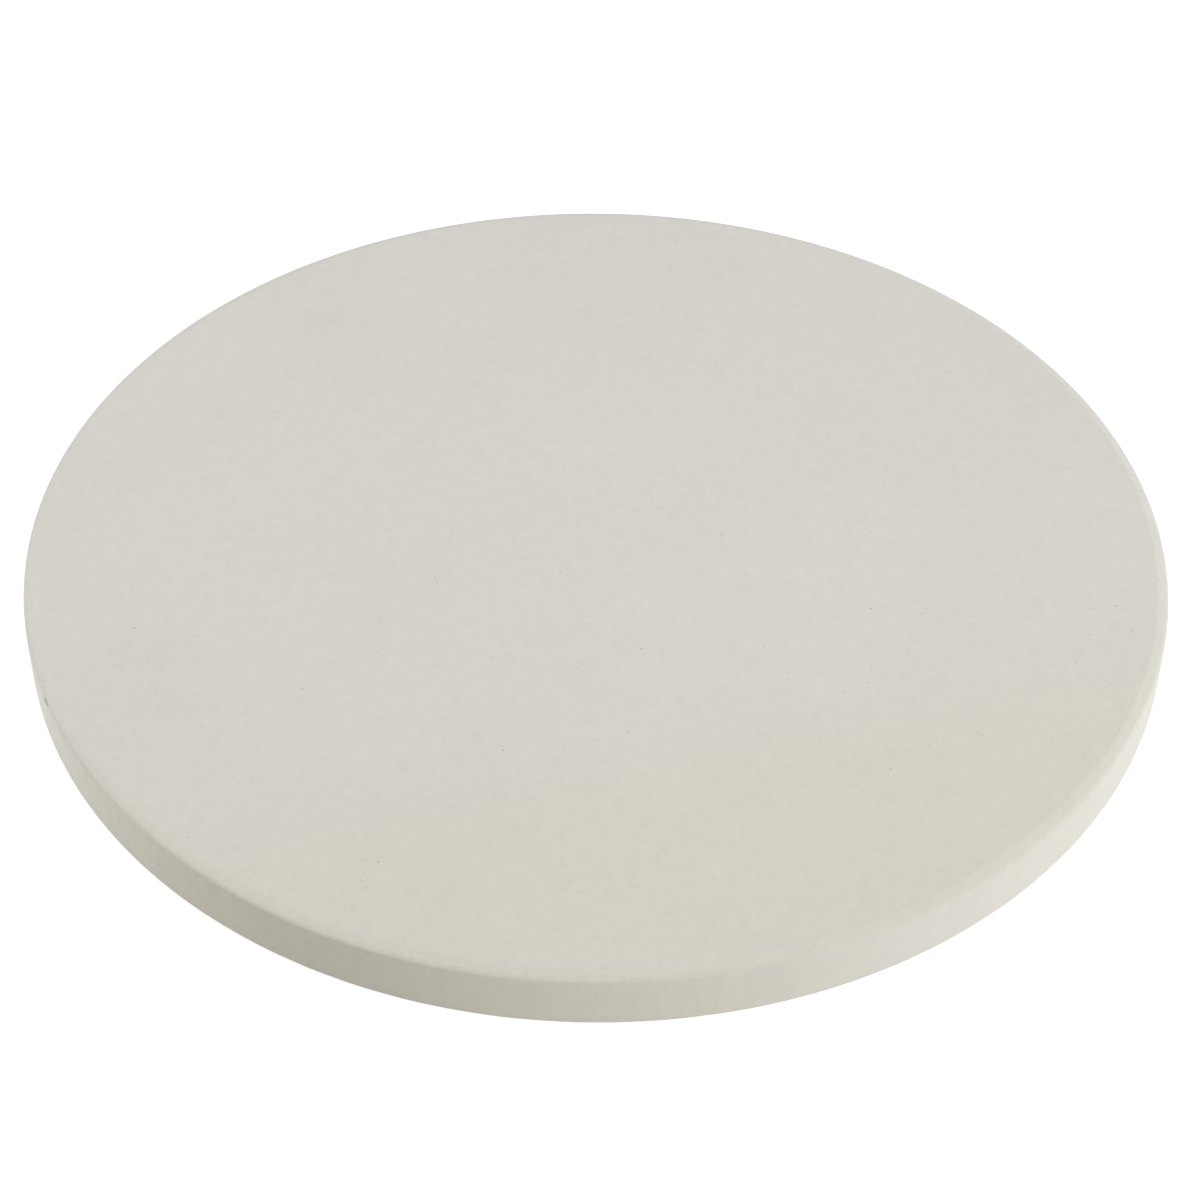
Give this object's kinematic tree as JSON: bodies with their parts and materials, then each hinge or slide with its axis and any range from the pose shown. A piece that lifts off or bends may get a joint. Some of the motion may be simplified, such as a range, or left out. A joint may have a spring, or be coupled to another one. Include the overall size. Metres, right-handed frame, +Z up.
{
  "type": "pizza stone",
  "caption": "Round pressed ceramic baking stone: a flat unglazed disc with a shallow bevel round its baking face and a broken edge round its foot.",
  "frame": {"origin": "centre of the flat underside, on the surface the stone rests on", "axes": "+Z up through the disc's centre towards the baking face; +X and +Y are any two radii at a right angle, because the disc is round"},
  "size_m": [0.38, 0.38, 0.02],
  "materials": {
    "fired_cordierite": "matte"
  },
  "bodies": {
    "root": {"baking_stone": "fired_cordierite"}
  },
  "joints": []
}
